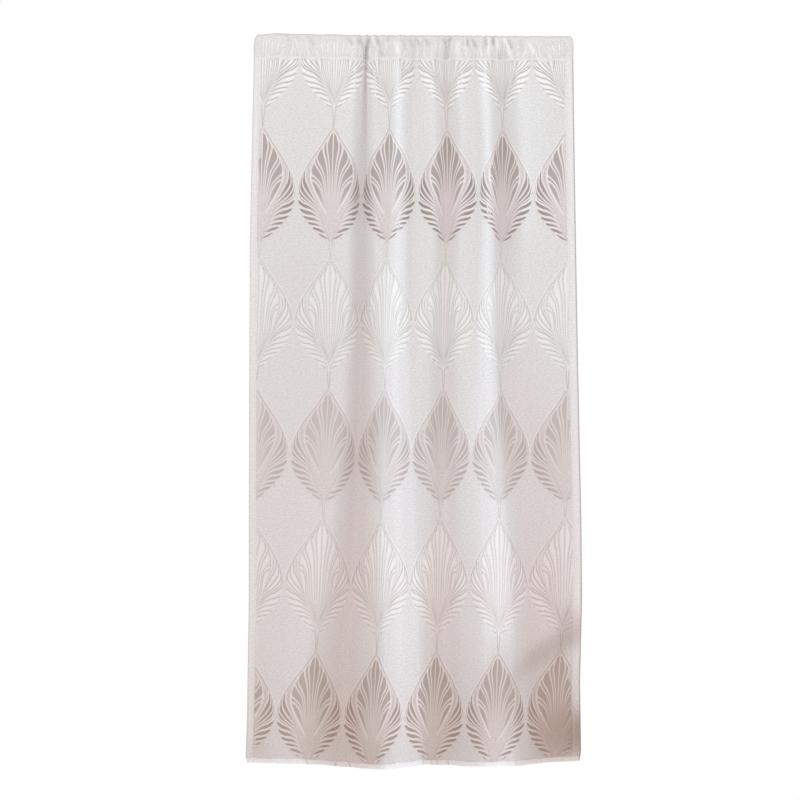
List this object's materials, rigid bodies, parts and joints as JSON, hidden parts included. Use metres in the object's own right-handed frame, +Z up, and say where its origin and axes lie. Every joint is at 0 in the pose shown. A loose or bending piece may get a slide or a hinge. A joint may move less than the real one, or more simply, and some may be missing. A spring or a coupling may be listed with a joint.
{
  "type": "lace door curtain",
  "caption": "Lace door curtain: one long sheet of patterned net with a rod pocket across its top, gathered in the middle and hanging in soft uneven folds to a turned hem.",
  "frame": {"origin": "middle of the curtain's top edge, where it hangs over the rod", "axes": "+X along the rod, to the right as seen from the room; +Y away from the viewer, from the front of the cloth to its back; +Z up"},
  "size_m": [0.828, 0.0879, 1.8077],
  "materials": {
    "lace": "matt knitted net, off-white with taupe leaf rows",
    "heading": "matt knitted net, doubled, off-white"
  },
  "bodies": {
    "root": {"lace_panel": "lace", "rod_pocket_heading": "heading"}
  },
  "joints": []
}
